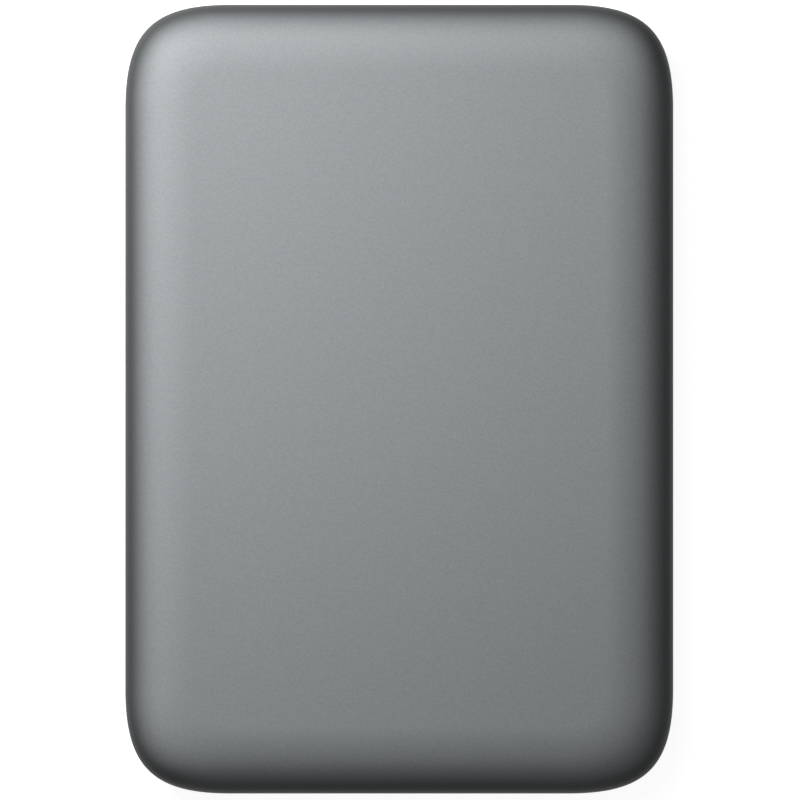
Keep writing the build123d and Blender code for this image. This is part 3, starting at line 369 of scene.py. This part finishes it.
def cast(name, colour):
    """Bead-blasted die casting."""
    finish = Finish(name, colour, rough=0.5, metal=1.0)
    blasted = finish.noise(size=0.4, detail=4.0)
    finish.tint(finish.noise(size=5.0, detail=3.0), low=0.88, high=1.08)
    finish.polish(blasted, low=0.42, high=0.6)
    finish.relief(blasted, height=0.02)
    return finish.material


def wound(name, colour):
    """Enamelled winding: fine wires side by side, with painted shade in the grooves between them and painted light
    on their crowns.
    """
    finish = Finish(name, colour, rough=0.3, metal=1.0)
    wires = finish.bands(size=0.12, wobble=0.3)
    # Painted shade and light: darker in the grooves between the wires, lighter on their crowns
    finish.tint(wires, low=0.55, high=1.15, start=0.1, end=0.8)
    finish.polish(wires, low=0.38, high=0.24)
    finish.relief(wires, height=0.03)
    return finish.material


def mirror(name, colour):
    """Polished disc coating with the faintest texture rings."""
    finish = Finish(name, colour, rough=0.05, metal=1.0)
    cuts = finish.rings(size=0.35)
    finish.tint(cuts, low=0.985, high=1.01)
    finish.polish(cuts, low=0.035, high=0.075)
    return finish.material


def felt(name, colour):
    """Pressed fibre pad."""
    finish = Finish(name, colour, rough=0.95, gloss=0.1)
    fibres = finish.noise(size=0.3, detail=5.0, stretch=(1, 4, 1))
    finish.tint(fibres, low=0.78, high=1.1)
    finish.relief(fibres, height=0.08)
    return finish.material


def film(name, colour):
    """Amber film with its copper tracks showing through."""
    finish = Finish(name, colour, rough=0.3)
    tracks = finish.bands(size=0.35, wobble=0.0)
    finish.tint(tracks, low=0.75, high=1.35, start=0.3, end=0.7)
    finish.polish(finish.noise(size=1.5), low=0.25, high=0.36)
    finish.relief(tracks, height=0.015)
    return finish.material


finishes = {
    # The cover's finish carries painted shade down its sides
    "case_top": paint("satin_grey_paint_with_painted_shade", (0.275, 0.2915, 0.2995)),
    "case_bottom": moulded(
        "graphite_moulded_plastic", (0.045, 0.048, 0.050), rough=0.55, grain=0.4, depth=0.015
    ),
    "foot_rubber": rubber("black_rubber", (0.02, 0.02, 0.021)),
    "bumper_rubber": rubber("soft_elastomer", (0.035, 0.036, 0.038)),
    "foam": foam("open_cell_foam", (0.06, 0.06, 0.062)),
    "light_guide": clear("milky_light_guide", (0.75, 0.78, 0.80)),
    "circuit_board": board("green_solder_mask", (0.02, 0.075, 0.035)),
    "chip": moulded("black_chip_compound", (0.012, 0.012, 0.013), rough=0.5, grain=0.2, depth=0.008),
    "capacitor": ceramic("tan_ceramic", (0.36, 0.25, 0.15)),
    "plated_steel": brushed("satin_tin_plate", (0.62, 0.62, 0.61), rough=0.28, along=(1, 0.15, 1), grain=0.2),
    "connector": moulded(
        "black_connector_plastic", (0.014, 0.014, 0.015), rough=0.45, grain=0.25, depth=0.006
    ),
    "contact_gold": brushed("gold_flash", (0.80, 0.56, 0.20), rough=0.22, along=(1, 0.1, 1), grain=0.1),
    "lamp": clear("clear_lamp_body", (0.80, 0.82, 0.78)),
    "cast_aluminium": cast("die_cast_aluminium", (0.52, 0.53, 0.54)),
    "machined_aluminium": turned("turned_aluminium", (0.66, 0.67, 0.68)),
    "lid_steel": brushed(
        "satin_stainless_sheet", (0.55, 0.55, 0.55), rough=0.34, along=(1, 0.05, 1), grain=0.3
    ),
    "seal": rubber("sealing_rubber", (0.03, 0.03, 0.03)),
    "bearing_steel": brushed("ground_steel", (0.45, 0.45, 0.45), rough=0.2, along=(0.2, 0.2, 1), grain=0.1),
    "screw_steel": brushed(
        "nickel_plated_steel", (0.30, 0.30, 0.31), rough=0.28, along=(1, 1, 0.2), grain=0.15
    ),
    "soft_iron": brushed("nickel_plated_iron", (0.42, 0.42, 0.41), rough=0.36, along=(1, 0.2, 1), grain=0.25),
    "magnet": brushed("plated_magnet", (0.34, 0.34, 0.35), rough=0.34, along=(1, 1, 1), grain=0.6),
    "copper": wound("enamelled_copper_wire", (0.72, 0.30, 0.14)),
    "disc_coating": mirror("polished_disc_coating", (0.75, 0.75, 0.76)),
    "slider_ceramic": ceramic("dark_sintered_ceramic", (0.06, 0.06, 0.06)),
    "ramp_plastic": moulded("ivory_bearing_plastic", (0.70, 0.67, 0.58), rough=0.4, grain=0.3, depth=0.005),
    "filter": felt("white_fibre_pad", (0.78, 0.78, 0.76)),
    "flex": film("amber_film", (0.42, 0.17, 0.03)),
}
for part in frame["record"]["subparts"]:
    materials = frame["nodes"][part["node"]].data.materials
    materials.clear()
    materials.append(finishes[part["material_slot"]])


# Outlines and loops of points

def corner_curve():
    """One quarter corner of unit size, from straight up to straight right."""
    pull = 1 - CORNER_PULL / CORNER
    points = []
    for step in range(CORNER_STEPS + 1):
        done = step / CORNER_STEPS
        left = 1 - done
        start, near, far, end = left**3, 3 * left**2 * done, 3 * left * done**2, done**3
        points.append((near * pull + far + end, start + near + far * pull))
    return points


QUARTER = corner_curve()


def outline(inset):
    """Points round the case, moved in by inset, counter-clockwise from the right side."""
    size = CORNER - inset
    middle_x, middle_y = HALF_X - CORNER, HALF_Y - CORNER
    points = []
    for x_side, y_side, way in ((1, 1, -1), (-1, 1, 1), (-1, -1, -1), (1, -1, 1)):
        for x, y in QUARTER[::way]:
            points.append((x_side * (middle_x + size * x), y_side * (middle_y + size * y)))
    return points


def roll(inset, start, run, drop, steps):
    """Rows of a quarter ellipse from the upright wall to the flat, as (inset, height)."""
    turns = [step / steps * pi / 2 for step in range(1, steps + 1)]
    return [(inset + run * (1 - cos(turn)), start + drop * sin(turn)) for turn in turns]


def soft_edge(height, way):
    """Rows of a small round at the wall's outer edge, from above with way 1 or from below with way -1."""
    middle = GROOVE_EDGE_MIDDLE
    return [(0, height + way * GROOVE_EDGE), (middle, height + way * middle), (GROOVE_EDGE, height)]


def around(rows):
    """Loops round the case through rows of (inset, height)."""
    return [[(x, y, z) for x, y in outline(inset)] for inset, z in rows]


def prism(points, low, high):
    """Loops of an upright block between two heights."""
    return [[(x, y, z) for x, y in points] for z in (low, high)]


def oblong(x, y, width, length):
    """Outline of a rectangle about its centre, counter-clockwise."""
    corners = ((-0.5, -0.5), (0.5, -0.5), (0.5, 0.5), (-0.5, 0.5))
    return [(x + across * width, y + along * length) for across, along in corners]


def disc(x, y, radius, sides=HOLE_SIDES):
    """Outline of a circle about its centre, counter-clockwise."""
    turns = [2 * pi * step / sides for step in range(sides)]
    return [(x + radius * cos(turn), y + radius * sin(turn)) for turn in turns]


def doorway(grow):
    """The port's opening in the end wall, with rounded upper corners."""
    room = PORT_GAP + grow
    left, right, top = PORT_LEFT - room, PORT_RIGHT + room, PORT_TOP + room
    points = [(left, SPLIT - OVERCUT), (right, SPLIT - OVERCUT)]
    for start, x in ((0, right - PORT_ROUND), (90, left + PORT_ROUND)):
        for step in range(PORT_STEPS + 1):
            turn = radians(start + step * 90 / PORT_STEPS)
            points.append((x + PORT_ROUND * cos(turn), top - PORT_ROUND + PORT_ROUND * sin(turn)))
    return points


def lamp_window(grow):
    """The light pipe's round hole in the end wall."""
    (left, _, _), (right, _, top) = box_mm("light_pipe")
    radius = (right - left) / 2
    return disc((left + right) / 2, top - radius, radius + WINDOW_GAP + grow)


def flared(section, inside, outside, widening):
    """Loops of a hole through the end wall that widens where it meets the skin."""
    levels = ((HALF_Y - WALL - OVERCUT, 0), (HALF_Y - inside, 0), (HALF_Y + outside, widening))
    return [[(x, y, z) for x, z in section(grow)] for y, grow in levels]


# Smooth case shells

def add_skin(made, loops):
    """Adds a closed skin through the loops, with a flat face on the first and the last."""
    rows = [[made.verts.new([place * MM for place in point]) for point in loop] for loop in loops]
    for low, high in zip(rows, rows[1:]):
        for i in range(len(low)):
            made.faces.new((low[i - 1], low[i], high[i], high[i - 1]))
    made.faces.new(rows[0][::-1])
    made.faces.new(rows[-1])


def solid(name, loops):
    """A new object with one closed skin."""
    made = bmesh.new()
    add_skin(made, loops)
    bmesh.ops.recalc_face_normals(made, faces=made.faces)
    mesh = bpy.data.meshes.new(name)
    made.to_mesh(mesh)
    made.free()
    piece = bpy.data.objects.new(name, mesh)
    scene.collection.objects.link(piece)
    return piece


def cut(piece, holes):
    """Takes holes, given by their loops, out of the piece."""
    tools = [solid("cutter", loops) for loops in holes]
    for tool in tools:
        step = piece.modifiers.new("cut", "BOOLEAN")
        step.operation = "DIFFERENCE"
        step.solver = "EXACT"
        step.object = tool
    graph = bpy.context.evaluated_depsgraph_get()
    holed = bpy.data.meshes.new_from_object(piece.evaluated_get(graph))
    piece.modifiers.clear()
    piece.data = holed
    for tool in tools:
        bpy.data.objects.remove(tool)


def add_blocks(piece, blocks):
    """Joins upright blocks, given by their loops, to the inside of a shell."""
    made = bmesh.new()
    made.from_mesh(piece.data)
    for loops in blocks:
        add_skin(made, loops)
    made.to_mesh(piece.data)
    made.free()


def dress(piece, node, slot):
    """Smooth shading, finish, body and the node that the piece stands for."""
    piece.data.name = piece.name
    piece.data.shade_smooth()
    piece.data.set_sharp_from_angle(angle=radians(SHARP_ANGLE))
    piece.data.materials.clear()
    piece.data.materials.append(finishes[slot])
    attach(piece, "case")
    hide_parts(node)


# Top cover: outer skin from the flat down to the groove, then the rim, the rebate and the inner skin
cover_rows = [(TOP_RUN + FLAT_MARGIN, TOP)]
cover_rows += roll(0, TOP_EDGE, TOP_RUN, TOP - TOP_EDGE, TOP_STEPS)[::-1]
cover_rows += [(0, TOP_EDGE)] + soft_edge(SPLIT + GROOVE, 1)
cover_rows += [(GROOVE, SPLIT + GROOVE), (GROOVE, SPLIT), (REBATE_INSET, SPLIT)]
cover_rows += [(REBATE_INSET, REBATE_TOP), (WALL, REBATE_TOP), (WALL, TOP_EDGE)]
cover_rows += roll(WALL, TOP_EDGE, TOP_RUN - WALL, ROOF - TOP_EDGE, ROOF_STEPS)
cover_shell = solid("cover_shell", around(cover_rows))
cut(cover_shell, [flared(doorway, *PORT_FLARE), flared(lamp_window, *WINDOW_FLARE)])

# Hold-down ribs from the foam strips up into the roof, over the middle of the drive
foam_top = box_mm("foam_strips")[1][2]
drive_y = sum(corner[1] for corner in box_mm("drive_base")) / 2
ribs = [oblong(x, drive_y, RIB, RIB_LENGTH) for x in (-RIB_OFFSET, RIB_OFFSET)]
ribs += [oblong(0, drive_y + step * RIB_PITCH, 2 * RIB_OFFSET, RIB) for step in (-1, 0, 1)]
add_blocks(cover_shell, [prism(rib, foam_top, ROOF + ROOT) for rib in ribs])
dress(cover_shell, "top_cover", "case_top")

# Bottom tray: outer skin from the flat up to the split, then the lip and the inner skin
tray_rows = [(LOW_RUN + FLAT_MARGIN, BOTTOM)]
tray_rows += roll(0, LOW_EDGE, LOW_RUN, BOTTOM - LOW_EDGE, LOW_STEPS)[::-1]
tray_rows += [(0, LOW_EDGE)] + soft_edge(SPLIT, -1)
tray_rows += [(LIP_INSET, SPLIT), (LIP_INSET, LIP_TOP), (WALL, LIP_TOP), (WALL, LOW_EDGE)]
tray_rows += roll(WALL, LOW_EDGE, LOW_RUN - WALL, TRAY_FLOOR - LOW_EDGE, FLOOR_STEPS)
tray_shell = solid("tray_shell", around(tray_rows))

# Gap in the lip behind the port, and the recesses for the feet
port_x, port_width = (PORT_LEFT + PORT_RIGHT) / 2, PORT_RIGHT - PORT_LEFT
lip_gap = oblong(port_x, HALF_Y, port_width + 4 * PORT_GAP, 2 * (WALL + OVERCUT))
holes = [prism(lip_gap, SPLIT, LIP_TOP + OVERCUT)]
for foot_x in (FOOT_INSET_X - HALF_X, HALF_X - FOOT_INSET_X):
    for foot_y in (FOOT_INSET_Y - HALF_Y, HALF_Y - FOOT_INSET_Y):
        recess = disc(foot_x, foot_y, FOOT_RADIUS, FOOT_SIDES)
        holes.append(prism(recess, BOTTOM - OVERCUT, BOTTOM + FOOT_RECESS))
cut(tray_shell, holes)

# A seat under each corner bumper with a backing beside it, and two posts under the bridge board
blocks = []
for bumper in BUMPERS:
    (left, back, seat_top), (right, front, _) = box_mm(bumper)
    middle_x, middle_y = (left + right) / 2, (back + front) / 2
    seat = oblong(middle_x, middle_y, right - left, front - back)
    blocks.append(prism(seat, TRAY_FLOOR - ROOT, seat_top))
    side = 1 if middle_x > 0 else -1
    backing_x = side * (HALF_X - WALL - BUMPER_BACKING / 2)
    backing = oblong(backing_x, middle_y, BUMPER_BACKING, front - back)
    blocks.append(prism(backing, TRAY_FLOOR, SPLIT))
(board_left, board_back, board_bottom), (board_right, _, _) = box_mm("bridge_board")
for post_x in (board_left + POST_FROM_SIDE, board_right - POST_FROM_SIDE):
    post = disc(post_x, board_back + POST_FROM_BACK, POST_RADIUS)
    blocks.append(prism(post, TRAY_FLOOR - ROOT, board_bottom))
add_blocks(tray_shell, blocks)
dress(tray_shell, "bottom_tray", "case_bottom")


# Floor, light and camera

def grey(level):
    """A neutral colour."""
    return (level, level, level)


def show(tree, output, background, plain):
    """Rays from the camera, off gloss and through clear pieces meet the background, others the plain."""
    path = tree.nodes.new("ShaderNodeLightPath").outputs
    seen = path["Is Camera Ray"]
    for kind in ("Is Glossy Ray", "Is Transmission Ray"):
        seen = add_node(tree, "ShaderNodeMath", {0: seen, 1: path[kind]}, operation="MAXIMUM").outputs[0]
    inputs = {0: seen, 1: plain.outputs[0], 2: background.outputs[0]}
    choice = add_node(tree, "ShaderNodeMixShader", inputs)
    tree.links.new(choice.outputs[0], tree.nodes[output].inputs["Surface"])


def lay_floor():
    """A pale disc that looks white and keeps the object's shadow."""
    mesh = bpy.data.meshes.new("floor")
    made = bmesh.new()
    bmesh.ops.create_circle(made, cap_ends=True, segments=FLOOR_SIDES, radius=FLOOR_RADIUS * MM)
    made.to_mesh(mesh)
    made.free()
    floor = bpy.data.objects.new("floor", mesh)
    floor.location.z = -FLOOR_DROP * MM
    scene.collection.objects.link(floor)
    pale = bpy.data.materials.new("pale_floor")
    pale.use_nodes = True
    tree = pale.node_tree
    tree.nodes.remove(tree.nodes["Principled BSDF"])
    glow = add_node(tree, "ShaderNodeEmission", {"Strength": FLOOR_GLOW})
    lit = add_node(tree, "ShaderNodeBsdfDiffuse", {"Color": (*grey(FLOOR_GREY), 1)})
    both = add_node(tree, "ShaderNodeAddShader", {0: glow.outputs[0], 1: lit.outputs[0]})
    bounce = add_node(tree, "ShaderNodeBsdfDiffuse", {"Color": (*grey(FLOOR_BOUNCE), 1)})
    show(tree, "Material Output", both, bounce)
    mesh.materials.append(pale)


def light_world():
    """Dim even light, and a white background that fades to grey overhead."""
    world = bpy.data.worlds.new("studio")
    scene.world = world
    world.use_nodes = True
    tree = world.node_tree
    dim = tree.nodes["Background"]
    dim.inputs["Color"].default_value = (*grey(1), 1)
    dim.inputs["Strength"].default_value = WORLD_LIGHT
    way = tree.nodes.new("ShaderNodeTexCoord").outputs["Generated"]
    height = add_node(tree, "ShaderNodeSeparateXYZ", {"Vector": way}).outputs["Z"]
    fade = add_ramp(tree, height, grey(1), grey(FADE_GREY), FADE_START, FADE_END)
    sky = add_node(tree, "ShaderNodeBackground", {"Color": fade.outputs["Color"]})
    show(tree, "World Output", sky, dim)


def hang_lamp(name, x, y, power):
    """A round soft lamp that looks straight down and isn't in the picture itself."""
    data = bpy.data.lights.new(name, "AREA")
    data.shape = "DISK"
    data.size = LAMP_SIZE * MM
    data.energy = power
    light = bpy.data.objects.new(name, data)
    light.location = (x * MM, y * MM, LAMP_HEIGHT * MM)
    light.visible_camera = False
    scene.collection.objects.link(light)


def place_camera():
    """A camera that looks straight down on the case."""
    data = bpy.data.cameras.new("camera")
    data.sensor_width = SENSOR
    data.lens = LENS
    data.clip_end = CAMERA_REACH * MM
    camera = bpy.data.objects.new("camera", data)
    camera.location = (CAMERA_X * MM, CAMERA_Y * MM, (CAMERA_RISE + TOP_EDGE) * MM)
    scene.collection.objects.link(camera)
    bpy.context.scene.camera = camera


lay_floor()
light_world()
for lamp_name, (lamp_x, lamp_y, lamp_power) in LAMPS.items():
    hang_lamp(lamp_name, lamp_x, lamp_y, lamp_power)
place_camera()
bpy.context.scene.view_settings.view_transform = "Standard"
